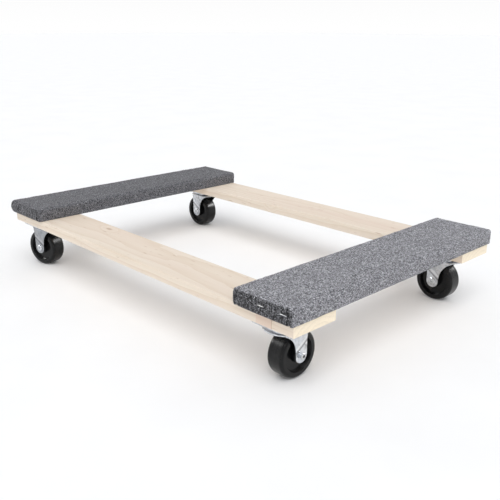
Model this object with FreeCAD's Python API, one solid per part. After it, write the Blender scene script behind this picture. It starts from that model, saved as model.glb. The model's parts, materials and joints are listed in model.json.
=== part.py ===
"""Furniture dolly: two wood rails, two carpeted end boards across them, four swivel casters.

Millimetres, +Z up, +X along the rails. The origin is on the floor under the middle of the deck.
"""

import FreeCAD
import Part

import math
import os

V = FreeCAD.Vector
ORIGIN = V(0, 0, 0)
UP = V(0, 0, 1)
NEAR = 0.1  # how close an edge lies to the plane it is picked by

# ---- deck -------------------------------------------------------------------
deck_length = 762.0  # over the carpet, along X
deck_width = 505.0  # over the carpet, along Y
rail_inset = 1.5  # rail ends stop this far inside the carpet
rail_width = 83.8
rail_thickness = 17.0
rail_side_inset = 4.2  # rail side faces stop this far inside the carpet
wood_edge = 1.2  # eased long edges
board_width = 99.2
board_thickness = 20.0
carpet_thickness = 4.0
carpet_edge = 7.0  # rounding of the carpet's outer edges

# ---- deck fasteners ---------------------------------------------------------
deck_screw_r = 2.2
deck_screw_head_r = 4.4
deck_screw_bite = 12.0  # length inside the rail
deck_screw_dx = 38.0  # from the board's centre line
deck_screw_dy = 20.0  # from the rail's centre line
hole_clearance = 0.1  # radial, round every screw, rivet and staple
staple_width = 11.0
staple_wire = 1.1
staple_leg = 12.0
staple_height = 13.0  # above the board's underside
staple_dx = (-2.0, 38.0)  # from the board's centre line

# ---- caster -----------------------------------------------------------------
caster_height = 90.5  # floor to the underside of the rail
trail = 13.0  # swivel axis to axle
rest_turn = {"left_front": 15.0, "left_back": 2.0, "right_front": -90.0, "right_back": 0.0}

wheel_d = 71.4
wheel_width = 29.0
wheel_shoulder = 5.0
rim_width = 4.2  # flat side of the rim, inside the shoulder
dish_depth = 5.0
dish_slope = 2.5
hub_r = 11.0
hub_edge = 1.0  # chamfer at the hub boss's end
hub_end_gap = 0.4  # hub boss to fork leg

sleeve_r = 6.0
sleeve_running = 0.06  # radial play of the wheel on its sleeve
rivet_r = 4.0
rivet_head_r = 6.2
rivet_head_h = 1.8
rivet_head_round = 0.7  # edge radius, as a share of the head's height
rivet_hollow_r = 2.3
rivet_hollow_depth = 9.0
rivet_tail = 4.6  # how far the open end stands out of the leg
rivet_roll = 0.9  # section radius of the open end's rolled lip

leg_thickness = 2.2
leg_side_gap = 1.9  # wheel side to fork leg
lug_r = 11.0
leg_flare = 8.0  # degrees, outward above the crease
leg_bend = 3.6  # outside radius where the crown turns down into a leg
crease_back = (-11.0, 22.0)  # (forward, up) from the axle, on the trailing edge
crease_front = (13.5, 5.0)  # on the leading edge
leg_edge = ((11.0, 1.0), (17.0, 22.5), (37.5, 41.0))  # leading edge, an arc through three points

crown_r = 32.5
crown_drop = 11.2  # rail underside to the top of the crown's rim
crown_sheet = 2.3
crown_round = 1.4
boss_r = 20.5
boss_rise = 2.6
boss_thickness = 3.0
boss_slope = 1.5
dome_r = 12.0
dome_rise = 4.6
dome_slope = 1.0
dome_gap = 1.0  # lower race to the inside of the dome
dome_flare = 1.4  # how much wider the dome's inside is at its mouth
pin_hole_r = 6.4

plate_length = 80.0  # along Y
plate_width = 64.0  # along X
plate_thickness = 2.5
plate_corner = 10.0
plate_hole_dx = 22.0
plate_hole_dy = 30.0
plate_screw_r = 2.6
plate_screw_head_r = 5.4
plate_screw_head_h = 3.0
plate_screw_round = 0.6  # edge radius, as a share of the head's height
cross_reach = 0.55  # the cross recess's arm, as a share of the head's radius
cross_half = 0.7  # half the width of an arm
cross_depth = 1.45
plate_screw_bite = 10.0  # length inside the end board

upper_race_r = 21.0
upper_race_h = 2.0
race_skirt = 1.6  # wall of the skirt that hides the upper balls
race_skirt_gap = 0.8  # skirt to the fork's boss
upper_ball_r = 3.0
upper_ball_circle = 15.8
upper_ball_count = 15
lower_ball_r = 1.8
lower_ball_circle = 9.2
lower_ball_seat = 1.2  # ball centre to the dome above it and to the race below it
lower_ball_count = 14
groove_clearance = 0.1
lower_race_r = 12.2
lower_race_h = 2.4
pin_r = 5.0
pin_head_r = 9.0
pin_head_depth = 3.6
pin_foot_r = 8.0
pin_foot_h = 2.0

# ---- worked out from the above ----------------------------------------------
wheel_r = wheel_d / 2
axle_z = wheel_r
leg_inner = wheel_width / 2 + leg_side_gap
leg_outer = leg_inner + leg_thickness
rail_bottom = caster_height
rail_top = rail_bottom + rail_thickness
board_top = rail_top + board_thickness
carpet_top = board_top + carpet_thickness
rail_length = deck_length - 2 * rail_inset
rail_y = deck_width / 2 - rail_side_inset - rail_width / 2
carpet_width = board_width + 2 * carpet_thickness
board_x = deck_length / 2 - carpet_width / 2
board_length = deck_width - 2 * carpet_thickness
crown_top = rail_bottom - crown_drop
plate_bottom = rail_bottom - plate_thickness
race_bottom = plate_bottom - upper_race_h
boss_top = crown_top + boss_rise
dome_top = crown_top + dome_rise
dome_under = dome_top - crown_sheet
upper_ball_z = (race_bottom + boss_top) / 2
lower_ball_z = dome_under - lower_ball_seat
lower_race_top = lower_ball_z - lower_ball_seat
lower_race_bottom = lower_race_top - lower_race_h
pin_bottom = lower_race_bottom - pin_foot_h

ends = {"left": -1, "right": 1}
sides = {"front": -1, "back": 1}


def box(x0, x1, y0, y1, z0, z1):
    return Part.makeBox(x1 - x0, y1 - y0, z1 - z0, V(x0, y0, z0))


def rod(radius, z0, z1, x=0.0, y=0.0):
    return Part.makeCylinder(radius, z1 - z0, V(x, y, z0), UP)


def turned(profile):
    """A solid of revolution about Z from a closed (radius, height) outline."""
    points = [V(r, 0, z) for r, z in profile]
    face = Part.Face(Part.makePolygon(points + points[:1]))
    return face.revolve(ORIGIN, UP, 360)


def ring(section, circle, z):
    return Part.makeTorus(circle, section, V(0, 0, z), UP)


def joined(shapes):
    """One shape of several separate solids."""
    return Part.makeCompound(shapes)


def moved(shape, turn, x, y):
    """A caster piece, turned about the swivel axis and carried to its corner."""
    copy = shape.copy()
    copy.rotate(ORIGIN, UP, turn)
    copy.translate(V(x, y, 0))
    return copy


def edges_where(shape, test):
    return [e for e in shape.Edges if test(e.BoundBox)]


def write(name, shape):
    shape.exportStep("parts/" + name + ".step")


# ---- deck -------------------------------------------------------------------
def plate_screw_places():
    signs = [(sx, sy) for sx in (-1, 1) for sy in (-1, 1)]
    return [(sx * plate_hole_dx, sy * plate_hole_dy) for sx, sy in signs]


def deck_screw_places(end):
    """Two screws on a diagonal of each crossing of the board and a rail."""
    found = []
    for side in sides.values():
        found.append((end * board_x - deck_screw_dx, side * (rail_y + deck_screw_dy)))
        found.append((end * board_x + deck_screw_dx, side * (rail_y - deck_screw_dy)))
    return found


def screw_holes(end, side=None):
    """The holes of one end's screws, through both layers of wood."""
    tools = []
    for cy in [side * rail_y] if side else [s * rail_y for s in sides.values()]:
        for dx, dy in plate_screw_places():
            top = rail_top + plate_screw_bite + hole_clearance
            radius = plate_screw_r + hole_clearance
            tools.append(rod(radius, rail_bottom, top, end * board_x + dx, cy + dy))
    bottom = rail_top - deck_screw_bite - hole_clearance
    for x, y in deck_screw_places(end):
        if side is None or y * side > 0:
            tools.append(rod(deck_screw_r + hole_clearance, bottom, board_top, x, y))
    return tools


def rail(side):
    """One flat rail, with eased long edges."""
    y = side * rail_y
    half = rail_length / 2
    solid = box(-half, half, y - rail_width / 2, y + rail_width / 2, rail_bottom, rail_top)
    long_edges = edges_where(solid, lambda b: b.XLength > rail_length - 1)
    solid = solid.makeFillet(wood_edge, long_edges)
    for end in ends.values():
        for tool in screw_holes(end, side):
            solid = solid.cut(tool)
    return solid


def staple_places(end):
    """(x, side) of each staple: two through each end of the carpet."""
    return [(end * board_x + dx, side) for dx in staple_dx for side in sides.values()]


def staple(x, side, slack=0.0):
    """A wire bridge lying on the carpet's end, with two legs driven into the board."""
    z = rail_top + staple_height
    r = staple_wire / 2 + slack
    skin = deck_width / 2 + staple_wire / 2
    half = staple_width / 2 - staple_wire / 2
    bridge = Part.makeCylinder(r, 2 * half, V(x - half, side * skin, z), V(1, 0, 0))
    shape = bridge
    for leg_x in (x - half, x + half):
        leg = Part.makeCylinder(r, staple_leg + slack, V(leg_x, side * skin, z), V(0, -side, 0))
        shape = shape.fuse(leg).fuse(Part.makeSphere(r, V(leg_x, side * skin, z)))
    return shape.removeSplitter()


def board(end):
    """The wood core of one end board."""
    x = end * board_x
    half_x = board_width / 2
    half_y = board_length / 2
    solid = box(x - half_x, x + half_x, -half_y, half_y, rail_top, board_top)
    for tool in screw_holes(end):
        solid = solid.cut(tool)
    for sx, sy in deck_screw_places(end):
        solid = solid.cut(countersink(sx, sy, hole_clearance))
    for place in staple_places(end):
        solid = solid.cut(staple(*place, hole_clearance))
    return solid


def carpet(end):
    """Carpet over the board's top, sides and ends, open underneath."""
    x = end * board_x
    half_x = carpet_width / 2
    half_y = deck_width / 2
    outer = box(x - half_x, x + half_x, -half_y, half_y, rail_top, carpet_top)
    soft_edges = edges_where(outer, lambda b: b.ZMax > rail_top + 1)
    outer = outer.makeFillet(carpet_edge, soft_edges)
    inner_x = board_width / 2
    inner_y = board_length / 2
    core = box(x - inner_x, x + inner_x, -inner_y, inner_y, rail_top, board_top)
    shell = outer.cut(core)
    for place in staple_places(end):
        shell = shell.cut(staple(*place, hole_clearance))
    return shell


def countersink(x, y, slack=0.0):
    """The cone of a flat screw head, flush with the top of the board."""
    depth = deck_screw_head_r - deck_screw_r
    radius = deck_screw_head_r + slack
    return Part.makeCone(radius - depth, radius, depth, V(x, y, board_top - depth), UP)


def deck_screw(x, y):
    shank = rod(deck_screw_r, rail_top - deck_screw_bite, board_top, x, y)
    return shank.fuse(countersink(x, y)).removeSplitter()


# ---- caster: fixed to the rail ----------------------------------------------
def pin_head_cone(slack=0.0):
    """The kingpin's flat head, sunk in the plate and the upper race."""
    low = rail_bottom - pin_head_depth
    top = pin_head_r + slack
    return Part.makeCone(pin_r + slack, top, pin_head_depth, V(0, 0, low), UP)


def mounting_plate():
    half_x = plate_width / 2
    half_y = plate_length / 2
    solid = box(-half_x, half_x, -half_y, half_y, plate_bottom, rail_bottom)
    corners = edges_where(solid, lambda b: b.ZLength > plate_thickness / 2)
    solid = solid.makeFillet(plate_corner, corners)
    for x, y in plate_screw_places():
        solid = solid.cut(rod(plate_screw_r + hole_clearance, plate_bottom, rail_bottom, x, y))
    return solid.cut(pin_head_cone(hole_clearance))


def upper_race():
    """A pressed ring under the plate, grooved for the upper balls, with a skirt round them."""
    skirt_low = boss_top + race_skirt_gap
    solid = rod(upper_race_r, skirt_low, plate_bottom)
    solid = solid.cut(rod(upper_race_r - race_skirt, skirt_low, race_bottom))
    high = plate_bottom - NEAR
    top_rim = edges_where(solid, lambda b: b.ZMin > high and b.XLength > upper_race_r)
    solid = solid.makeFillet(race_skirt / 2, top_rim)
    solid = solid.cut(ring(upper_ball_r + groove_clearance, upper_ball_circle, upper_ball_z))
    solid = solid.cut(rod(pin_r + hole_clearance, race_bottom, plate_bottom))
    return solid.cut(pin_head_cone(hole_clearance))


def kingpin():
    """A rivet: sunk head in the plate, shank through the crown, round foot below."""
    solid = rod(pin_r, pin_bottom, rail_bottom).fuse(pin_head_cone())
    foot = rod(pin_foot_r, pin_bottom, lower_race_bottom)
    rim = edges_where(foot, lambda b: b.ZMax < pin_bottom + NEAR and b.XLength > pin_foot_r)
    foot = foot.makeFillet(pin_foot_h / 2, rim)
    return solid.fuse(foot).removeSplitter()


def lower_race():
    solid = rod(lower_race_r, lower_race_bottom, lower_race_top)
    solid = solid.cut(ring(lower_ball_r + groove_clearance, lower_ball_circle, lower_ball_z))
    return solid.cut(rod(pin_r + hole_clearance, lower_race_bottom, lower_race_top))


def plate_screw(x, y):
    """A pan-head screw up through the plate and the rail into the end board."""
    shank = rod(plate_screw_r, plate_bottom, rail_top + plate_screw_bite, x, y)
    head = rod(plate_screw_head_r, plate_bottom - plate_screw_head_h, plate_bottom, x, y)
    low = plate_bottom - plate_screw_head_h
    rim = edges_where(head, lambda b: b.ZMax < low + NEAR)
    head = head.makeFillet(plate_screw_head_h * plate_screw_round, rim)
    reach = plate_screw_head_r * cross_reach
    for wide, deep in ((reach, cross_half), (cross_half, reach)):
        cross = box(x - wide, x + wide, y - deep, y + deep, low - NEAR, low + cross_depth)
        head = head.cut(cross)
    return shank.fuse(head).removeSplitter()


# ---- caster: swivelling -----------------------------------------------------
def balls(radius, circle, z, count):
    found = []
    for i in range(count):
        a = 2 * math.pi * i / count
        found.append(Part.makeSphere(radius, V(circle * math.cos(a), circle * math.sin(a), z)))
    return joined(found)


def crown():
    """The round top of the fork: flat rim, raised boss and dome for the balls."""
    under = crown_top - crown_sheet
    boss_under = boss_top - boss_thickness
    corner = crown_round * (1 - math.sqrt(0.5))
    profile = [
        (pin_hole_r, dome_top),
        (dome_r, dome_top),
        (dome_r + dome_slope, boss_top),
        (boss_r - boss_slope, boss_top),
        (boss_r, crown_top),
        (crown_r - crown_round, crown_top),
        (crown_r - corner, crown_top - corner),
        (crown_r, crown_top - crown_round),
        (crown_r, under),
        (boss_r - boss_slope, under),
        (boss_r - 2 * boss_slope, boss_under),
        (lower_race_r + dome_gap + dome_flare, boss_under),
        (lower_race_r + dome_gap, dome_under),
        (pin_hole_r, dome_under),
    ]
    solid = turned(profile)
    solid = solid.cut(ring(upper_ball_r + groove_clearance, upper_ball_circle, upper_ball_z))
    return solid.cut(ring(lower_ball_r + groove_clearance, lower_ball_circle, lower_ball_z))


def crease_frame():
    """The middle of a leg's crease, its direction, and the direction square to it, upward."""
    x0, z0 = crease_back
    x1, z1 = crease_front
    along = V(x1 - x0, 0, z1 - z0).normalize()
    above = V(-along.z, 0, along.x)
    middle = V((x0 + x1) / 2 - trail, 0, axle_z + (z0 + z1) / 2)
    return middle, along, above


def creased(outline, reach):
    """A straight bar along a leg's crease; outline is (distance above the crease, outward)."""
    middle, along, above = crease_frame()
    start = middle - along * reach
    points = [start + above * s + V(0, out, 0) for s, out in outline]
    face = Part.Face(Part.makePolygon(points + points[:1]))
    return face.extrude(along * (2 * reach))


def leg_bar():
    """The bent sheet of one leg before its outline is cut: upright, then flared."""
    reach = 3 * crown_r
    lean = math.tan(math.radians(leg_flare))
    across = leg_thickness / math.cos(math.radians(leg_flare))
    outline = [
        (-reach, leg_inner),
        (0, leg_inner),
        (reach, leg_inner + reach * lean),
        (reach, leg_inner + reach * lean + across),
        (0, leg_outer),
        (-reach, leg_outer),
    ]
    return creased(outline, reach)


def between_legs():
    """The space inside the outer faces of both legs."""
    reach = 3 * crown_r
    lean = math.tan(math.radians(leg_flare))
    outline = [
        (-reach, 0),
        (reach, 0),
        (reach, leg_outer + reach * lean),
        (0, leg_outer),
        (-reach, leg_outer),
    ]
    half = creased(outline, reach)
    return half.fuse(half.mirror(ORIGIN, V(0, 1, 0)))


def leg_outline():
    """The side view of a leg, from the lug up to the crown, as a slab across the whole fork."""

    def at(point):
        return V(point[0] - trail, 0, axle_z + point[1])

    top = crown_top - axle_z
    low, middle, high = [at(p) for p in leg_edge]
    back = -lug_r
    edges = [
        Part.Arc(at((back, 0)), at((0, -lug_r)), at((lug_r, 0))).toShape(),
        Part.makeLine(at((lug_r, 0)), low),
        Part.Arc(low, middle, high).toShape(),
        Part.makeLine(high, at((leg_edge[2][0], top))),
        Part.makeLine(at((leg_edge[2][0], top)), at((back, top))),
        Part.makeLine(at((back, top)), at((back, 0))),
    ]
    face = Part.Face(Part.Wire(edges))
    face.translate(V(0, -2 * crown_r, 0))
    return face.extrude(V(0, 4 * crown_r, 0))


def leg():
    limit = rod(crown_r, 0, crown_top)
    solid = leg_bar().common(leg_outline()).common(limit)
    hole = Part.makeCylinder(rivet_r + hole_clearance, 4 * crown_r, V(-trail, 0, axle_z), V(0, 1, 0))
    return solid.cut(hole)


def shoulder_waste():
    """What is cut away to round the bend where the crown's flat rim turns down into a leg."""
    middle, _, above = crease_frame()
    lean = math.tan(math.radians(leg_flare))
    out = (V(0, 1, 0) - above * lean).normalize()
    run = out.cross(UP).normalize()
    corner = V(middle.x, leg_outer + (crown_top - middle.z) * above.z * lean, crown_top)
    heart = corner - (UP + out) * (leg_bend / (1 + UP.dot(out)))
    high = heart + UP * leg_bend
    low = heart + out * leg_bend
    between = heart + (UP + out).normalize() * leg_bend
    outer = [low, low + out * leg_bend, corner + (UP + out) * leg_bend, high + UP * leg_bend, high]
    edges = [Part.makeLine(one, two) for one, two in zip(outer, outer[1:])]
    edges.append(Part.Arc(high, between, low).toShape())
    face = Part.Face(Part.Wire(edges))
    face.translate(run * (-2 * crown_r))
    return face.extrude(run * (4 * crown_r))


def fork():
    one = leg()
    other = one.mirror(ORIGIN, V(0, 1, 0))
    top = crown().common(between_legs())
    solid = top.fuse(one).fuse(other).removeSplitter()
    waste = shoulder_waste()
    return solid.cut(waste).cut(waste.mirror(ORIGIN, V(0, 1, 0)))


def axle_sleeve():
    """A steel tube held between the legs."""
    start = V(-trail, -leg_inner, axle_z)
    outer = Part.makeCylinder(sleeve_r, 2 * leg_inner, start, V(0, 1, 0))
    inner = Part.makeCylinder(rivet_r + hole_clearance, 2 * leg_inner, start, V(0, 1, 0))
    return outer.cut(inner)


def axle_rivet():
    """A part-hollow rivet: a low round head on one side, an open rolled end on the other."""
    side = V(0, 1, 0)
    shank_length = 2 * leg_outer + rivet_tail
    shank = Part.makeCylinder(rivet_r, shank_length, V(-trail, -leg_outer, axle_z), side)
    head_low = V(-trail, -leg_outer - rivet_head_h, axle_z)
    head = Part.makeCylinder(rivet_head_r, rivet_head_h, head_low, side)
    face_y = -leg_outer - rivet_head_h + NEAR
    rim = edges_where(head, lambda b: b.YMax < face_y and b.XLength > rivet_head_r)
    head = head.makeFillet(rivet_head_h * rivet_head_round, rim)
    dimple = Part.makeCylinder(rivet_hollow_r, rivet_head_h, head_low, side)
    tip = leg_outer + rivet_tail
    roll = Part.makeTorus(rivet_r, rivet_roll, V(-trail, tip - rivet_roll, axle_z), side)
    mouth = V(-trail, tip - rivet_hollow_depth, axle_z)
    hollow = Part.makeCylinder(rivet_hollow_r, rivet_hollow_depth + NEAR, mouth, side)
    return shank.fuse(head).fuse(roll).cut(hollow).cut(dimple).removeSplitter()


def wheel():
    """One moulding: rounded tread, flat rim side, dished web, hub boss."""
    half = wheel_width / 2
    rim_r = wheel_r - wheel_shoulder
    dish_r = rim_r - rim_width
    web = half - dish_depth
    hub_end = leg_inner - hub_end_gap
    bore = sleeve_r + sleeve_running
    upper = [
        (bore, hub_end),
        (hub_r - hub_edge, hub_end),
        (hub_r, hub_end - hub_edge),
        (hub_r + dish_slope / 2, web),
        (dish_r - dish_slope, web),
        (dish_r, half),
        (rim_r, half),
    ]
    points = [V(r, 0, h) for r, h in upper]
    edges = [Part.makeLine(a, b) for a, b in zip(points, points[1:])]
    knee = wheel_shoulder * math.sqrt(0.5)
    corner = V(wheel_r, 0, half - wheel_shoulder)
    bend = V(rim_r + knee, 0, half - wheel_shoulder + knee)
    edges.append(Part.Arc(points[-1], bend, corner).toShape())
    edges.append(Part.makeLine(corner, V(wheel_r, 0, 0)))
    edges.append(Part.makeLine(V(wheel_r, 0, 0), V(bore, 0, 0)))
    edges.append(Part.makeLine(V(bore, 0, 0), points[0]))
    solid = Part.Face(Part.Wire(edges)).revolve(ORIGIN, UP, 360)
    solid = solid.fuse(solid.mirror(ORIGIN, UP)).removeSplitter()
    solid.rotate(ORIGIN, V(1, 0, 0), 90)
    solid.translate(V(-trail, 0, axle_z))
    return solid


# ---- write every piece ------------------------------------------------------
def write_deck():
    for name, side in sides.items():
        write(name + "_rail", rail(side))
    for name, end in ends.items():
        write(name + "_board", board(end))
        write(name + "_carpet", carpet(end))
        write(name + "_staples", joined([staple(*place) for place in staple_places(end)]))
        write(name + "_deck_screws", joined([deck_screw(*p) for p in deck_screw_places(end)]))


def write_casters():
    fixed = {
        "plate": mounting_plate(),
        "upper_race": upper_race(),
        "kingpin": kingpin(),
        "lower_race": lower_race(),
        "plate_screws": joined([plate_screw(*p) for p in plate_screw_places()]),
    }
    turning = {
        "fork": fork(),
        "upper_balls": balls(upper_ball_r, upper_ball_circle, upper_ball_z, upper_ball_count),
        "lower_balls": balls(lower_ball_r, lower_ball_circle, lower_ball_z, lower_ball_count),
        "axle_sleeve": axle_sleeve(),
        "axle_rivet": axle_rivet(),
        "wheel": wheel(),
    }
    for end_name, end in ends.items():
        for side_name, side in sides.items():
            corner = end_name + "_" + side_name
            x = end * board_x
            y = side * rail_y
            for name, shape in fixed.items():
                write(corner + "_" + name, moved(shape, 0, x, y))
            for name, shape in turning.items():
                write(corner + "_" + name, moved(shape, rest_turn[corner], x, y))


os.makedirs("parts", exist_ok=True)
write_deck()
write_casters()
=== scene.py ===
"""Looks for a furniture dolly: carpeted end boards on two pine rails, with plated swivel casters.

Everything is in metres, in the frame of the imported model: +X runs along the rails, +Y across
them, +Z up, and the origin is on the floor under the middle of the deck.
"""

import json
import math

import bmesh
import bpy
import numpy as np
from mathutils import Matrix, Vector, noise


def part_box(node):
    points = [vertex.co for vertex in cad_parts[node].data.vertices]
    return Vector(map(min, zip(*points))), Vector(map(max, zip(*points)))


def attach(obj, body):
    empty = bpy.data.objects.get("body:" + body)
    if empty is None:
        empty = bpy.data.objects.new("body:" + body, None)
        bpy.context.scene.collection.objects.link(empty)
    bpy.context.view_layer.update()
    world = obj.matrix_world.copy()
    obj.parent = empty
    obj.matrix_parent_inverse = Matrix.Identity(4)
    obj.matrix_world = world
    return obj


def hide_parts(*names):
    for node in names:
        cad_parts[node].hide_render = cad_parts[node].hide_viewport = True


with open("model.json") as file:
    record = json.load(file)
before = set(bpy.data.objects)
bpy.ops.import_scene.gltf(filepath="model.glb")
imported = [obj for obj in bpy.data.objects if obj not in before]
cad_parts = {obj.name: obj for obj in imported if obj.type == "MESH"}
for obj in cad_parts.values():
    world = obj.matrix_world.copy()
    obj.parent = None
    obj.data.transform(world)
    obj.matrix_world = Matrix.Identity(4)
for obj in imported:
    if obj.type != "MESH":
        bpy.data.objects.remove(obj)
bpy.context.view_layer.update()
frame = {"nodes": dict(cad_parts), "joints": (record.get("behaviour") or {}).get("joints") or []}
nodes = frame["nodes"]

MM = 0.001
ENDS = {"left": -1, "right": 1}
CORNERS = ("left_front", "left_back", "right_front", "right_back")
UP = Vector((0, 0, 1))


def wheel_axis(corner):
    """The way one wheel's axle points at rest."""
    return Vector(next(j for j in frame["joints"] if j["name"] == corner + "_wheel_spin")["axis"])


def wheel_centre(corner):
    low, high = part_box(corner + "_wheel")
    return (low + high) / 2


def tone(*srgb):
    """A colour given as 0-255 screen values, made linear."""
    return tuple((v / 255) ** 2.2 for v in srgb)


def scaled(colour, share):
    return tuple(share * v for v in colour)


# ---- node trees -------------------------------------------------------------
class Shader:
    """One material's node tree, with short names for the nodes used here."""

    def __init__(self, name, **surface):
        self.material = bpy.data.materials.new(name)
        self.material.use_nodes = True
        self.tree = self.material.node_tree
        self.surface = self.tree.nodes["Principled BSDF"]
        for socket, value in surface.items():
            self.surface.inputs[socket.replace("_", " ")].default_value = value

    def node(self, kind, inputs=(), **settings):
        """A new node; inputs is a list of (socket name or number, value or output)."""
        made = self.tree.nodes.new("ShaderNode" + kind)
        for name, value in settings.items():
            setattr(made, name, value)
        for socket, value in inputs:
            if isinstance(value, bpy.types.NodeSocket):
                self.tree.links.new(value, made.inputs[socket])
            else:
                made.inputs[socket].default_value = value
        return made

    def feed(self, socket, output):
        """Drives one socket of the surface itself."""
        self.tree.links.new(output, self.surface.inputs[socket])

    def place(self):
        """A point on the piece, in the row frame at rest."""
        return self.node("TexCoord").outputs["Object"]

    def stretched(self, point, scale, turn=(0, 0, 0), shift=(0, 0, 0)):
        """point scaled, turned and shifted, to draw a pattern out along an axis."""
        inputs = [("Vector", point), ("Location", shift), ("Rotation", turn), ("Scale", scale)]
        return self.node("Mapping", inputs).outputs["Vector"]

    def noise(self, point, scale, detail=2.0, rough=0.5, twist=0.0):
        inputs = [("Vector", point), ("Scale", scale), ("Detail", detail)]
        inputs += [("Roughness", rough), ("Distortion", twist)]
        return self.node("TexNoise", inputs).outputs["Fac"]

    def math(self, operation, one, two=0.0, clamp=False):
        inputs = [(0, one), (1, two)]
        return self.node("Math", inputs, operation=operation, use_clamp=clamp).outputs[0]

    def hypotenuse(self, one, two):
        squares = self.math("ADD", self.math("POWER", one, 2.0), self.math("POWER", two, 2.0))
        return self.math("SQRT", squares)

    def span(self, value, low, high, new_low=0.0, new_high=1.0):
        """value carried from low..high to new_low..new_high, and held there."""
        inputs = [("Value", value), ("From Min", low), ("From Max", high)]
        inputs += [("To Min", new_low), ("To Max", new_high)]
        return self.node("MapRange", inputs).outputs["Result"]

    def ramp(self, value, *stops):
        """A colour for value; stops are (place, colour)."""
        made = self.node("ValToRGB", [("Fac", value)])
        marks = made.color_ramp.elements
        while len(marks) < len(stops):
            marks.new(1.0)
        for mark, (place, colour) in zip(marks, stops):
            mark.position = place
            mark.color = (*colour, 1.0)
        return made.outputs["Color"]

    def mix(self, share, one, two, blend="MIX"):
        """Colour one with share of colour two over it; each may be a value or an output."""
        made = self.node("Mix", data_type="RGBA", blend_type=blend)
        for socket, value in ((0, share), (6, one), (7, two)):
            if isinstance(value, bpy.types.NodeSocket):
                self.tree.links.new(value, made.inputs[socket])
            elif socket == 0:
                made.inputs[0].default_value = value
            else:
                made.inputs[socket].default_value = (*value, 1.0)
        return made.outputs[2]

    def split(self, vector):
        return self.node("SeparateXYZ", [("Vector", vector)]).outputs

    def bump(self, height, strength, depth, under=None):
        """A surface normal pushed about by height, on top of the normal under."""
        inputs = [("Height", height), ("Strength", strength), ("Distance", depth)]
        if under is not None:
            inputs.append(("Normal", under))
        return self.node("Bump", inputs).outputs["Normal"]


# ---- wood -------------------------------------------------------------------
EARLY = tone(230, 217, 201)
LATE = tone(212, 192, 168)
WARM = tone(222, 202, 186)
PINKISH = tone(218, 190, 172)
KNOT = tone(165, 128, 96)
END_GRAIN = tone(246, 232, 208)
RING_WANDER = 26 * MM  # how far the growth rings stray
KNOT_PUSH = 1.6  # rings that a knot pushes aside
KNOT_LONG = (0.45, 1.0, 0.25)  # a knot reaches further where this is smaller
BOARD_HEART = (0.36, 0.02)  # the tree's heart: (across the grain, up)
FRONT_HEART = (-0.19, 0.03)
BACK_HEART = (0.235, 0.05)
FRONT_KNOT = ((-0.145, -0.181, 0.107), 16 * MM)  # (place, size)
BACK_KNOT = ((-0.066, 0.162, 0.107), 9 * MM)
FINGER_JOINT = (0.312, 0.341)  # along the front rail, a pinker block with a dark seam at its end


def grain(shader, along, heart, ring, knots):
    """Distance from the tree's heart at each point, in rings; along is the grain's axis, 0 or 1."""
    point = shader.place()
    slow = [5.0, 5.0, 5.0]
    slow[along] = 1.1
    wander = shader.noise(shader.stretched(point, slow), 3.0, 3.0, 0.55)
    wander = shader.math("MULTIPLY", shader.math("SUBTRACT", wander, 0.5), RING_WANDER)
    x, y, z = shader.split(point)[:3]
    across = y if along == 0 else x
    side = shader.math("SUBTRACT", across, heart[0])
    up = shader.math("SUBTRACT", z, heart[1])
    radius = shader.math("ADD", shader.hypotenuse(side, up), wander)
    for knot in knots:
        radius = shader.math("ADD", radius, shader.math("MULTIPLY", knot, KNOT_PUSH * ring))
    return shader.math("DIVIDE", radius, ring)


def near_knot(shader, centre, size):
    """1 at a knot's middle, falling off to 0; longer along X than across."""
    shift = tuple(-long * c for long, c in zip(KNOT_LONG, centre))
    point = shader.stretched(shader.place(), KNOT_LONG, shift=shift)
    far = shader.node("VectorMath", [(0, point)], operation="LENGTH").outputs["Value"]
    return shader.span(far, 0.0, size, 1.0, 0.0)


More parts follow.
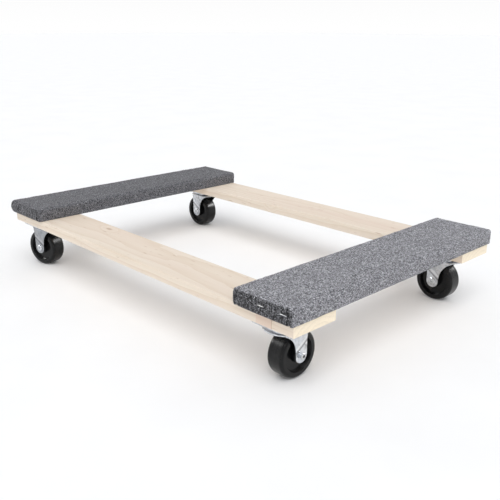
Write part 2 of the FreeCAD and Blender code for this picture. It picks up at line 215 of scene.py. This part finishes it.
def wood(name, along, heart, ring=9 * MM, knots=(), patch=None, shade=1.0):
    """Planed softwood: pale early wood, darker ring lines, fine fibres and end grain.

    heart is the tree's centre, knots a list of (place, size), and patch a block's start and end.
    """
    shader = Shader(name, Roughness=0.62, Specular_IOR_Level=0.3)
    marks = [near_knot(shader, centre, size) for centre, size in knots]
    rings = grain(shader, along, heart, ring, marks)
    line = shader.math("POWER", shader.math("FRACT", rings), 2.6)
    dim = scaled(LATE, shade)
    colour = shader.mix(shader.math("MULTIPLY", line, 0.55), scaled(EARLY, shade), dim)

    point = shader.place()
    fine = [900.0, 900.0, 900.0]
    fine[along] = 14.0
    fibres = shader.noise(shader.stretched(point, fine), 1.0, 3.0, 0.6)
    colour = shader.mix(shader.span(fibres, 0.52, 0.72, 0.0, 0.35), colour, dim)
    broad = [22.0, 22.0, 22.0]
    broad[along] = 1.6
    bands = shader.noise(shader.stretched(point, broad), 1.0, 2.0, 0.5)
    colour = shader.mix(shader.span(bands, 0.40, 0.68, 0.0, 0.6), colour, scaled(WARM, shade))
    flecks = [300.0, 300.0, 300.0]
    flecks[along] = 40.0
    fleck = shader.noise(shader.stretched(point, flecks), 1.0, 1.0, 0.5)
    colour = shader.mix(shader.span(fleck, 0.70, 0.78, 0.0, 0.5), colour, KNOT)

    for mark in marks:
        heartwood = shader.span(mark, 0.72, 0.88)
        colour = shader.mix(shader.math("MULTIPLY", heartwood, 0.55), colour, KNOT)

    if patch:
        x = shader.split(point)[0]
        start, end = patch
        inside = shader.math("MULTIPLY", shader.math("GREATER_THAN", x, start),
                             shader.math("LESS_THAN", x, end))
        colour = shader.mix(shader.math("MULTIPLY", inside, 0.55), colour, PINKISH)
        gap = shader.math("ABSOLUTE", shader.math("SUBTRACT", x, end))
        wobble = shader.math("MULTIPLY", shader.noise(point, 90.0), 0.9 * MM)
        seam = shader.math("LESS_THAN", gap, wobble)
        colour = shader.mix(shader.math("MULTIPLY", seam, 0.85), colour, KNOT)

    facing = shader.split(shader.node("NewGeometry").outputs["True Normal"])[along]
    ends = shader.math("GREATER_THAN", shader.math("ABSOLUTE", facing), 0.8)
    saw = shader.noise(shader.stretched(point, (400.0, 400.0, 900.0)), 1.0, 3.0, 0.6)
    cut = shader.mix(shader.math("MULTIPLY", line, 0.45), END_GRAIN, scaled(END_GRAIN, 0.78))
    cut = shader.mix(shader.span(saw, 0.45, 0.7, 0.0, 0.3), cut, dim)
    colour = shader.mix(ends, colour, cut)
    shader.feed("Base Color", colour)

    shader.feed("Roughness", shader.span(fibres, 0.3, 0.7, 0.52, 0.72))
    shallow = shader.bump(fibres, 0.35, 0.12 * MM)
    shader.feed("Normal", shader.bump(line, 0.2, 0.10 * MM, shallow))
    return shader.material


# ---- metal ------------------------------------------------------------------
ZINC = (0.66, 0.67, 0.69)
RIVET_ZINC = (0.66, 0.67, 0.68)
SCREW_ZINC = (0.72, 0.73, 0.74)
BALL_STEEL = (0.68, 0.68, 0.70)
STAPLE_WIRE = (0.62, 0.62, 0.62)
FORK_ZINC = (0.98, 0.99, 1.02)
# How light each fork's plating is. It stands in for what each fork reflects in a
# real studio: the real four are surely plated alike.
FORK_TONE = {"left_front": 0.38, "left_back": 0.62, "right_front": 0.74, "right_back": 0.70}
CREASE_BACK = (-11.0 * MM, 22.0 * MM)  # the bend in a caster's leg: (forward, up) from the axle
CREASE_FRONT = (13.5 * MM, 5.0 * MM)


def leg_crease(corner):
    """A point on the bend of one fork's legs, and the direction up across it."""
    forward = wheel_axis(corner).cross(UP).normalized()
    ahead = CREASE_FRONT[0] - CREASE_BACK[0]
    rise = CREASE_FRONT[1] - CREASE_BACK[1]
    above = (forward * -rise + UP * ahead).normalized()
    start = wheel_centre(corner) + forward * CREASE_BACK[0] + UP * CREASE_BACK[1]
    return start, above


def steel(name, colour, rough, blotch=0.7, scratch=0.25, wave=0.5, crease=None):
    """Plated pressed steel: bright, cloudy and a little wavy, with fine handling marks.

    crease is (a point on a bend, the direction up across it): painted shade just below it, a painted
    highlight above.
    """
    shader = Shader(name, Metallic=1.0)
    point = shader.place()
    cloud = shader.noise(point, 105.0, 4.0, 0.6, 0.8)
    fine = shader.noise(point, 900.0, 3.0, 0.6)
    shade = shader.mix(shader.span(cloud, 0.44, 0.62, 0.0, blotch), colour, scaled(colour, 0.42))
    bluish = tuple(a * b for a, b in zip(colour, (0.86, 0.93, 1.0)))
    tint = shader.noise(point, 45.0, 2.0, 0.5)
    shade = shader.mix(shader.span(tint, 0.4, 0.65, 0.0, 0.5), shade, bluish)
    if crease:
        offset = shader.node("VectorMath", [(0, point), (1, crease[0])], operation="SUBTRACT")
        above = shader.node("VectorMath", [(0, offset.outputs[0]), (1, crease[1])],
                            operation="DOT_PRODUCT").outputs["Value"]
        # Painted shade: a dark line just below the bend.
        away = shader.math("ABSOLUTE", shader.math("ADD", above, 1.2 * MM))
        line = shader.span(away, 0.4 * MM, 2.2 * MM, 0.75, 0.0)
        shade = shader.mix(line, shade, scaled(colour, 0.25))
        # Painted highlight: a bright band just above the bend.
        away = shader.math("ABSOLUTE", shader.math("SUBTRACT", above, 3.5 * MM))
        shade = shader.mix(shader.span(away, 0.5 * MM, 3.5 * MM, 0.6, 0.0), shade,
                           tuple(min(1.0, 1.35 * v) for v in colour))
    shader.feed("Base Color", shade)
    marks = shader.noise(shader.stretched(point, (60.0, 1400.0, 1400.0), (0.3, 0.2, 0.9)), 1.0)
    worn = shader.math("ADD", shader.span(cloud, 0.3, 0.75, rough - 0.07, rough + 0.12),
                       shader.span(marks, 0.60, 0.72, 0.0, scratch * 0.4))
    shader.feed("Roughness", worn)
    soft = shader.bump(fine, 0.12, 0.05 * MM)
    wavy = shader.bump(shader.noise(point, 75.0, 1.0, 0.4), wave, 1.2 * MM, soft)
    shader.feed("Normal", shader.bump(marks, scratch * 0.5, 0.04 * MM, wavy))
    return shader.material


# ---- wheels -----------------------------------------------------------------
TREAD_START = 33 * MM  # the distance from the axle where the shoulder turns into tread
TREAD_FULL = 35.2 * MM
BLACK = (0.004, 0.004, 0.0044)
DUST = (0.014, 0.014, 0.0135)
SCUFF = (0.022, 0.022, 0.0215)


def moulded(name, centre, axis):
    """Hard black wheel: satin moulded faces and a tread with faint rolling marks and dust."""
    shader = Shader(name, Base_Color=(0.006, 0.006, 0.0065, 1), Specular_IOR_Level=0.24)
    turn = math.atan2(axis.y, axis.x)
    offset = shader.node("VectorMath", [(0, shader.place()), (1, centre)], operation="SUBTRACT")
    own = shader.node("VectorRotate", [("Vector", offset.outputs[0]), ("Axis", (0, 0, 1)),
                                       ("Angle", -turn)], rotation_type="AXIS_ANGLE")
    point = own.outputs[0]
    across, side, up = shader.split(point)[:3]
    reach = shader.hypotenuse(side, up)
    tread = shader.span(reach, TREAD_START, TREAD_FULL)

    speck = shader.noise(point, 1500.0, 2.0, 0.6)
    cloud = shader.noise(point, 70.0, 4.0, 0.62)
    lines = shader.noise(shader.node("CombineXYZ", [(0, across), (1, reach)]).outputs[0],
                         1300.0, 2.0, 0.7)
    dust = shader.math("MULTIPLY", shader.span(cloud, 0.46, 0.72),
                       shader.span(tread, 0.0, 1.0, 0.25, 1.0))
    colour = shader.mix(shader.math("MULTIPLY", dust, 0.55), BLACK, DUST)
    scuff = shader.math("MULTIPLY", shader.span(lines, 0.58, 0.75), tread)
    colour = shader.mix(shader.math("MULTIPLY", scuff, 0.4), colour, SCUFF)
    shader.feed("Base Color", colour)
    base = shader.span(cloud, 0.3, 0.75, 0.17, 0.30)
    shader.feed("Roughness", shader.math("ADD", base, shader.math("MULTIPLY", scuff, 0.12)))
    soft = shader.bump(speck, 0.16, 0.06 * MM)
    rolled = shader.math("MULTIPLY", lines, tread)
    shader.feed("Normal", shader.bump(rolled, 0.25, 0.08 * MM, soft))
    return shader.material


# ---- carpet -----------------------------------------------------------------
# How each carpet looks: light, contrast and end_shade are for its colour; upright and
# top round its corners; swell is how far each end bulges; fold and sink are for the corner folds
# and the staples' dimples; loose_corner is (x side, y side, how far it stands out).
LOOKS = {
    "left": {
        "light": 0.70, "contrast": 0.45, "end_shade": 0.80, "seed": 3, "upright": 4.0 * MM,
        "top": 6.0 * MM, "swell": {-1: 4.5 * MM, 1: 1.0 * MM}, "fold": 0.35, "sink": 2.4 * MM,
        "loose_corner": (-1, -1, 4.0 * MM),
    },
    "right": {
        "light": 1.08, "contrast": 0.80, "end_shade": 0.31, "seed": 8, "upright": 2.0 * MM,
        "top": 4.0 * MM, "swell": {-1: 0.6 * MM, 1: 0.8 * MM}, "fold": 1.0, "sink": 1.2 * MM,
        "loose_corner": (-1, -1, 1.2 * MM),
    },
}
STEP = 1.15 * MM  # spacing of the carpet's mesh
PROUD = 1.0 * MM  # the pile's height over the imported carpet
FOLD_IN = 7.5 * MM  # corner folds to the carpet's long sides
FOLD_DEPTH = 3.2 * MM
FOLD_WIDE = 1.6 * MM
FOLD_LEAN = 2.0 * MM  # how much further in a fold is at its foot
LIP_IN = 3.2 * MM  # the raised lip beside a fold
LIP_WIDE = 2.0 * MM
LOOSE_REACH = 28 * MM
STAPLE_UP = 13.0 * MM
STAPLE_REACH = 6.0 * MM
STAPLE_GAP = 5 * MM  # wider than any gap between points of one staple
HEM_TURN = 3.6 * MM  # how far the lower edge is turned in
HEM_REACH = 6 * MM
YARN_DARK = tone(36, 36, 40)
YARN_MID = tone(118, 118, 124)
YARN_PALE = tone(232, 232, 238)
FIBRES = 9000  # on each carpet
FIRST_FIBRE_SEED = 4


def heather(name, box, light, contrast, end_shade):
    """Grey heather carpet: short fibres of several greys, in faint rows along the board."""
    shader = Shader(name, Roughness=0.95, Specular_IOR_Level=0.12, Sheen_Weight=0.12,
                    Sheen_Roughness=0.55)
    point = shader.place()
    strands = None
    for number, angle in enumerate((0.25, 0.95, 2.2)):
        laid = shader.stretched(point, (330.0, 900.0, 620.0), (0.4 * number, 0.3, angle),
                                (number, 0, 0))
        layer = shader.noise(laid, 1.0, 2.0, 0.6, 0.6)
        strands = layer if strands is None else shader.math("MAXIMUM", strands, layer)
    lumps = shader.noise(point, 470.0, 2.0, 0.62, 0.4)
    rows = shader.noise(shader.stretched(point, (420.0, 90.0, 420.0), (0, 0, 0.5)), 1.0, 1.0, 0.5)
    broad = shader.noise(point, 38.0, 3.0, 0.55)
    mid = scaled(tone(124, 124, 129), light)
    dark = scaled(tone(34, 34, 38), light)
    pale = scaled(YARN_PALE, light)
    colour = shader.mix(shader.span(lumps, 0.40, 0.56), dark, mid)
    colour = shader.mix(shader.span(rows, 0.42, 0.60, 0.0, 0.45), colour, dark)
    colour = shader.mix(shader.span(strands, 0.57, 0.67, 0.0, contrast), colour, pale)
    colour = shader.mix(shader.span(broad, 0.40, 0.66, 0.0, 0.25), colour, scaled(mid, 0.6))

    # The folded-in ends: ribbed upright and darker; painted shade makes them darkest in the corner
    # folds.
    facing = shader.split(shader.node("NewGeometry").outputs["Normal"])[1]
    ends = shader.span(shader.math("ABSOLUTE", facing), 0.55, 0.85)
    ribs = shader.noise(shader.stretched(point, (520.0, 520.0, 45.0)), 1.0, 2.0, 0.6)
    deep = shader.span(ribs, 0.42, 0.58, 0.35 * end_shade, 1.4 * end_shade)
    # Painted shade in the corner folds: darkest along each fold line.
    across = shader.split(point)[0]
    for side in (box[0].x + FOLD_IN, box[1].x - FOLD_IN):
        away = shader.math("ABSOLUTE", shader.math("SUBTRACT", across, side))
        deep = shader.math("MULTIPLY", deep, shader.span(away, 0.5 * MM, 3.2 * MM, 0.35, 1.0))
    change = shader.math("MULTIPLY", ends, shader.math("SUBTRACT", deep, 1.0))
    shade = shader.math("ADD", 1.0, change)
    grey = shader.node("CombineXYZ", [(0, shade), (1, shade), (2, shade)]).outputs[0]
    shader.feed("Base Color", shader.mix(1.0, colour, grey, "MULTIPLY"))
    soft = shader.bump(lumps, 0.7, 0.9 * MM)
    shader.feed("Normal", shader.bump(strands, 0.6, 0.5 * MM, soft))
    return shader.material


def loose(name, light):
    """The same yarn, for the fibres that stand out of the carpet."""
    shader = Shader(name, Roughness=0.9, Specular_IOR_Level=0.2, Sheen_Weight=0.2)
    fac = shader.noise(shader.place(), 520.0, 1.0, 0.5)
    stops = zip((0.38, 0.5, 0.62), (YARN_DARK, YARN_MID, YARN_PALE))
    shader.feed("Base Color", shader.ramp(fac, *((at, scaled(grey, light)) for at, grey in stops)))
    return shader.material


def shell(width, length, height):
    """Points and quads of a box's top and four sides, on one welded grid, centred in plan."""
    nx, ny, nz = (max(2, round(size / STEP)) for size in (width, length, height))
    made = bpy.data.meshes.new("shell")
    places = {}
    points = []
    quads = []

    def spot(i, j, k):
        key = (i, j, k)
        if key not in places:
            places[key] = len(points)
            points.append((width * (i / nx - 0.5), length * (j / ny - 0.5), height * k / nz))
        return places[key]

    for i in range(nx):
        for j in range(ny):
            quads.append([spot(i, j, nz), spot(i + 1, j, nz), spot(i + 1, j + 1, nz),
                          spot(i, j + 1, nz)])
    for k in range(nz):
        up = k + 1
        for i in range(nx):
            quads.append([spot(i, 0, k), spot(i + 1, 0, k), spot(i + 1, 0, up), spot(i, 0, up)])
            quads.append([spot(i + 1, ny, k), spot(i, ny, k), spot(i, ny, up), spot(i + 1, ny, up)])
        for j in range(ny):
            quads.append([spot(0, j + 1, k), spot(0, j, k), spot(0, j, up), spot(0, j + 1, up)])
            quads.append([spot(nx, j, k), spot(nx, j + 1, k), spot(nx, j + 1, up), spot(nx, j, up)])
    made.from_pydata(points, [], quads)
    return made


def rounded(p, half, height, upright, top):
    """Rounds the upright corners and the top edges of box points by two radii."""
    x, y, z = p[:, 0].copy(), p[:, 1].copy(), p[:, 2].copy()
    qx = np.abs(x) - (half[0] - upright)
    qy = np.abs(y) - (half[1] - upright)
    corner = (qx > 0) & (qy > 0)
    far = np.hypot(qx, qy)
    square = np.maximum(qx, qy)
    share = np.where(corner, square / np.maximum(far, 1e-9), 1.0)
    x = np.where(corner, np.sign(x) * (half[0] - upright + qx * share), x)
    y = np.where(corner, np.sign(y) * (half[1] - upright + qy * share), y)

    qx = np.abs(x) - (half[0] - upright)
    qy = np.abs(y) - (half[1] - upright)
    outside = np.hypot(np.maximum(qx, 0), np.maximum(qy, 0))
    deep = upright - outside - np.minimum(np.maximum(qx, qy), 0)
    nx = np.where(corner, np.maximum(qx, 0) / np.maximum(outside, 1e-9), (qx >= qy) * 1.0)
    ny = np.where(corner, np.maximum(qy, 0) / np.maximum(outside, 1e-9), (qx < qy) * 1.0)
    down = height - z
    near = (deep < top) & (down < top)
    a, b = deep - top, down - top
    scale = np.where(near, np.maximum(np.abs(a), np.abs(b)) / np.maximum(np.hypot(a, b), 1e-9), 1.0)
    new_deep = np.where(near, top + a * scale, deep)
    new_down = np.where(near, top + b * scale, down)
    x = x - np.sign(x) * nx * (new_deep - deep)
    y = y - np.sign(y) * ny * (new_deep - deep)
    return np.stack([x, y, height - new_down], axis=1)


def rough_surface(p, normal, half, height, look, staples):
    """How far each point stands out along its normal, in metres."""
    out = np.zeros(len(p))
    seed = look["seed"]
    shift = Vector((11.3 * seed, 4.7 * seed, 2.1 * seed))
    for number, (x, y, z) in enumerate(p):
        spot = Vector((x, y, z))
        broad = noise.noise(spot * 28 + shift) * 0.45 + noise.noise(spot * 75 + shift) * 0.25
        tuft = noise.noise(spot * 420 + shift) * 0.35 + noise.noise(spot * 900 + shift) * 0.25
        out[number] = (broad + tuft) * MM + PROUD
    ends = np.abs(normal[:, 1]) > 0.7
    up = np.clip(p[:, 2] / height, 0, 1)
    belly = np.sin(up * math.pi) ** 0.7
    for sign, size in look["swell"].items():
        this = ends & (np.sign(p[:, 1]) == sign)
        out += np.where(this, belly * np.clip(1 - (p[:, 0] / half[0]) ** 6, 0, 1) * size, 0)
    corner_x, corner_y, size = look["loose_corner"]
    near = np.hypot(p[:, 0] - corner_x * half[0], p[:, 1] - corner_y * half[1])
    bulge = belly * size * np.exp(-(near / LOOSE_REACH) ** 2)
    out += np.where(np.abs(normal[:, 2]) < 0.8, bulge, 0)
    for side in (-1, 1):
        lean = (1 - up) * FOLD_LEAN
        away = np.abs(p[:, 0] - side * (half[0] - FOLD_IN + lean))
        groove = np.exp(-(away / FOLD_WIDE) ** 2) * np.clip(1.25 - up, 0, 1)
        lip = np.exp(-((p[:, 0] - side * (half[0] - FOLD_IN + LIP_IN)) / LIP_WIDE) ** 2)
        out += np.where(ends, look["fold"] * (0.5 * lip * MM - FOLD_DEPTH * groove), 0)
    for x, sign in staples:
        here = ends & (np.sign(p[:, 1]) == sign)
        reach = np.hypot((p[:, 0] - x) / 1.5, p[:, 2] - STAPLE_UP)
        out += np.where(here, -look["sink"] * np.exp(-(reach / STAPLE_REACH) ** 2), 0)
    return out


def carpet(end, look):
    """The carpet that wraps one end board, as a thin skin with a turned-in lower hem."""
    low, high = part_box(end + "_carpet")
    size = high - low
    half = (size.x / 2, size.y / 2)
    middle = Vector(((low.x + high.x) / 2, (low.y + high.y) / 2, low.z))
    mesh = shell(size.x, size.y, size.z)
    count = len(mesh.vertices)
    flat = np.empty(count * 3)
    mesh.vertices.foreach_get("co", flat)
    p = rounded(flat.reshape(-1, 3), half, size.z, look["upright"], look["top"])
    mesh.vertices.foreach_set("co", p.ravel())
    mesh.update()
    normal = np.empty(count * 3)
    mesh.vertices.foreach_get("normal", normal)
    normal = normal.reshape(-1, 3)
    staples = [(x - middle.x, sign) for sign in (-1, 1) for x in staple_middles(end)]
    p = p + normal * rough_surface(p, normal, half, size.z, look, staples)[:, None]
    p[:, 2] = np.clip(p[:, 2], 0.2 * MM, size.z + 2.0 * MM)
    mesh.vertices.foreach_set("co", p.ravel())
    hem(mesh, half)
    mesh.transform(Matrix.Translation(middle))
    mesh.update()
    mesh.polygons.foreach_set("use_smooth", [True] * len(mesh.polygons))
    mesh.materials.append(heather(end + "_heather", (low, high), look["light"], look["contrast"],
                                  look["end_shade"]))
    piece = bpy.data.objects.new(end + "_carpet_skin", mesh)
    bpy.context.scene.collection.objects.link(piece)
    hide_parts(end + "_carpet")
    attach(piece, "root")
    return piece


def staple_middles(end):
    """The X places of the staples in one end of a board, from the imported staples."""
    co = np.array([v.co for v in nodes[end + "_staples"].data.vertices])
    near = np.sort(co[co[:, 1] < 0, 0])
    breaks = np.nonzero(np.diff(near) > STAPLE_GAP)[0]
    return [(group[0] + group[-1]) / 2 for group in np.split(near, breaks + 1)]


def hem(mesh, half):
    """Turns the carpet's lower edge in under itself, towards the board."""
    work = bmesh.new()
    work.from_mesh(mesh)
    rim = [e for e in work.edges if e.is_boundary]
    made = bmesh.ops.extrude_edge_only(work, edges=rim)["geom"]
    for v in (g for g in made if isinstance(g, bmesh.types.BMVert)):
        for axis in (0, 1):
            place = v.co[axis]
            if abs(place) > half[axis] - HEM_REACH:
                v.co[axis] -= math.copysign(min(HEM_TURN, abs(place)), place)
        v.co.z = 0.1 * MM
    work.to_mesh(mesh)
    work.free()


def fuzz(end, skin, light, seed):
    """Loose curly fibres that stand out of one carpet."""
    rng = np.random.default_rng(seed)
    count = FIBRES
    mesh = skin.data
    total = len(mesh.polygons)
    centre = np.empty(total * 3)
    normal = np.empty(total * 3)
    area = np.empty(total)
    mesh.polygons.foreach_get("center", centre)
    mesh.polygons.foreach_get("normal", normal)
    mesh.polygons.foreach_get("area", area)
    centre, normal = centre.reshape(-1, 3), normal.reshape(-1, 3)
    shown = (normal[:, 2] > -0.2) & (centre[:, 2] > centre[:, 2].min() + 1.5 * MM)
    chance = np.where(shown, area, 0)
    picked = rng.choice(total, count, p=chance / chance.sum())
    base, up = centre[picked], normal[picked]
    way = rng.normal(size=(count, 3))
    way -= up * (way * up).sum(1)[:, None]
    way /= np.linalg.norm(way, axis=1)[:, None]
    side = np.cross(up, way)
    long = rng.uniform(1.6, 3.6, count)[:, None] * MM
    rise = rng.uniform(0.25, 0.75, count)[:, None] * MM
    curl = rng.normal(0, 0.35, count)[:, None]
    wide = rng.uniform(0.10, 0.17, count)[:, None] * MM
    rows = []
    for t in (0.0, 0.3, 0.65, 1.0):
        spot = base + way * long * (t - 0.5) + side * long * curl * t * (1 - t)
        spot = spot + up * (rise * 4 * t * (1 - t) - 0.1 * MM)
        half = side * wide * (1.0 if 0 < t < 1 else 0.4)
        rows += [spot - half, spot + half]
    verts = np.stack(rows, axis=1).reshape(-1, 3)
    quads = np.array([[0, 1, 3, 2], [2, 3, 5, 4], [4, 5, 7, 6]])
    faces = (np.arange(count)[:, None, None] * 8 + quads[None]).reshape(-1, 4)
    made = bpy.data.meshes.new(end + "_carpet_fuzz")
    made.from_pydata(verts.tolist(), [], faces.tolist())
    made.materials.append(loose(end + "_yarn", light))
    piece = bpy.data.objects.new(end + "_carpet_fuzz", made)
    bpy.context.scene.collection.objects.link(piece)
    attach(piece, "root")
    return piece


# ---- stage ------------------------------------------------------------------
HORIZON = (1.0, 1.0, 1.0)
ZENITH = (0.64, 0.65, 0.67)
ZENITH_FROM = 0.6  # how far up the surround is fully dimmed
FLOOR_REACH = 40.0
FLOOR_DARK = (0.93, 0.93, 0.93)
FLOOR_LIGHT = (0.96, 0.96, 0.96)
DECK_MIDDLE = (0, 0, 0.05)
WINDOWS = {  # place, size, power
    "window_left": ((-2.0, -1.5, 1.6), (0.55, 0.8), 75),
    "window_back": ((1.5, 2.0, 1.7), (0.7, 0.9), 80),
}
LAMP_TOWARDS = (0.5, -0.45, 1.0)
LAMP_POWER = 1.42
LAMP_WIDE = math.radians(45)


def softbox(name, place, aim, size, power):
    """A bright window that shows in glossy surfaces and lights nothing else."""
    lamp = bpy.data.lights.new(name, "AREA")
    lamp.shape = "RECTANGLE"
    lamp.size, lamp.size_y = size
    lamp.energy = power
    made = bpy.data.objects.new(name, lamp)
    made.location = place
    made.rotation_euler = (Vector(aim) - Vector(place)).to_track_quat("-Z", "Y").to_euler()
    made.visible_diffuse = False
    made.visible_camera = False
    bpy.context.scene.collection.objects.link(made)


def studio():
    """A pale floor, a pale surround that dims upward, a wide high lamp and two soft windows."""
    world = bpy.data.worlds.new("surround")
    bpy.context.scene.world = world
    world.use_nodes = True
    tree = world.node_tree
    split = tree.nodes.new("ShaderNodeSeparateXYZ")
    ramp = tree.nodes.new("ShaderNodeValToRGB")
    tree.links.new(tree.nodes.new("ShaderNodeTexCoord").outputs["Generated"], split.inputs[0])
    tree.links.new(split.outputs["Z"], ramp.inputs["Fac"])
    tree.links.new(ramp.outputs["Color"], tree.nodes["Background"].inputs["Color"])
    ramp.color_ramp.elements[0].color = (*HORIZON, 1)
    ramp.color_ramp.elements[1].color = (*ZENITH, 1)
    ramp.color_ramp.elements[1].position = ZENITH_FROM
    mesh = bpy.data.meshes.new("floor")
    corners = [(-1, -1), (1, -1), (1, 1), (-1, 1)]
    mesh.from_pydata([(x * FLOOR_REACH, y * FLOOR_REACH, 0) for x, y in corners], [], [(0, 1, 2, 3)])
    floor = bpy.data.objects.new("floor", mesh)
    bpy.context.scene.collection.objects.link(floor)
    shader = Shader("pale_floor", Roughness=0.75, Specular_IOR_Level=0.2)
    mottle = shader.noise(shader.place(), 6.0, 3.0, 0.5)
    shader.feed("Base Color", shader.ramp(mottle, (0.3, FLOOR_DARK), (0.7, FLOOR_LIGHT)))
    mesh.materials.append(shader.material)
    for name, (place, size, power) in WINDOWS.items():
        softbox(name, place, DECK_MIDDLE, size, power)
    high = bpy.data.lights.new("high", "SUN")
    high.energy = LAMP_POWER
    high.angle = LAMP_WIDE
    made = bpy.data.objects.new("high", high)
    made.rotation_euler = Vector(LAMP_TOWARDS).to_track_quat("Z", "Y").to_euler()
    bpy.context.scene.collection.objects.link(made)


# The view: from the right front, a little above, aimed near the middle of the rails' tops.
CAMERA_TURN = math.radians(46.05)
CAMERA_RISE = math.radians(18.42)
CAMERA_ROLL = math.radians(0.2)
CAMERA_AWAY = 1.2611
CAMERA_SHIFT = (29.7 * MM, -44.8 * MM)  # sideways and upward from the line to the aim
CAMERA_LENS = 48.31  # mm
CAMERA_SENSOR = 36  # mm


def camera():
    """The camera, from the constants above."""
    rail_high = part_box("front_rail")[1]
    aim = UP * rail_high.z
    back = Vector((math.sin(CAMERA_TURN) * math.cos(CAMERA_RISE),
                   -math.cos(CAMERA_TURN) * math.cos(CAMERA_RISE), math.sin(CAMERA_RISE)))
    level = UP.cross(back).normalized()
    upright = back.cross(level)
    right = level * math.cos(CAMERA_ROLL) + upright * math.sin(CAMERA_ROLL)
    up = back.cross(right)
    made = bpy.data.objects.new("camera", bpy.data.cameras.new("camera"))
    bpy.context.scene.collection.objects.link(made)
    turn = Matrix((right, up, back)).transposed().to_4x4()
    place = aim + back * CAMERA_AWAY + right * CAMERA_SHIFT[0] + up * CAMERA_SHIFT[1]
    made.matrix_world = Matrix.Translation(place) @ turn
    made.data.lens = CAMERA_LENS
    made.data.sensor_width = CAMERA_SENSOR
    bpy.context.scene.camera = made


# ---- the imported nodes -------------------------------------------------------
EASE = 0.35 * MM
WELD = 0.005 * MM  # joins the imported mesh's doubled points
SHARP = math.radians(35)


def dress(name, material):
    """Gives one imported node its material."""
    mesh = nodes[name].data
    mesh.materials.clear()
    mesh.materials.append(material)


def soften(name):
    """Eases a node's sharp edges a little, so that they catch the light."""
    piece = nodes[name]
    weld = piece.modifiers.new("weld", "WELD")
    weld.merge_threshold = WELD
    ease = piece.modifiers.new("ease", "BEVEL")
    ease.width = EASE
    ease.segments = 2
    ease.limit_method = "ANGLE"
    ease.angle_limit = SHARP
    ease.harden_normals = True


def dress_all():
    """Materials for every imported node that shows."""
    zinc = steel("zinc_plate", ZINC, 0.22)
    screw = steel("screw_zinc", SCREW_ZINC, 0.30)
    ball = steel("ball_polish", BALL_STEEL, 0.14, blotch=0.15, scratch=0.05, wave=0.0)
    rivet = steel("rivet_zinc", RIVET_ZINC, 0.22, blotch=0.5)
    wire = steel("staple_bright", STAPLE_WIRE, 0.34)
    for corner in CORNERS:
        soften(corner + "_fork")
        soften(corner + "_plate")
        for part in ("plate", "upper_race", "kingpin", "lower_race"):
            dress(corner + "_" + part, zinc)
        # Each fork's zinc colour, made lighter or darker per corner as a painted reflection; steel()
        # adds a painted shade line and a painted highlight at the bend.
        plating_with_painted_reflection = scaled(FORK_ZINC, FORK_TONE[corner])
        dress(corner + "_fork", steel(corner + "_fork_zinc_painted_light", plating_with_painted_reflection, 0.20,
                                      crease=leg_crease(corner)))
        dress(corner + "_plate_screws", screw)
        dress(corner + "_upper_balls", ball)
        dress(corner + "_lower_balls", ball)
        dress(corner + "_axle_sleeve", ball)
        dress(corner + "_axle_rivet", rivet)
        black = moulded(corner + "_black", wheel_centre(corner), wheel_axis(corner))
        dress(corner + "_wheel", black)
    for end, sign in ENDS.items():
        heart = (sign * BOARD_HEART[0], BOARD_HEART[1])
        dress(end + "_staples", wire)
        dress(end + "_deck_screws", screw)
        dress(end + "_board", wood(end + "_board_pine", 1, heart, shade=0.92))
    dress("front_rail", wood("front_pine", 0, FRONT_HEART, knots=[FRONT_KNOT], patch=FINGER_JOINT))
    dress("back_rail", wood("back_pine", 0, BACK_HEART, 8 * MM, knots=[BACK_KNOT]))


camera()
studio()
dress_all()
for number, (end, look) in enumerate(LOOKS.items()):
    skin = carpet(end, look)
    fibres = fuzz(end, skin, look["light"], number + FIRST_FIBRE_SEED)

bpy.context.scene.view_settings.view_transform = "Standard"
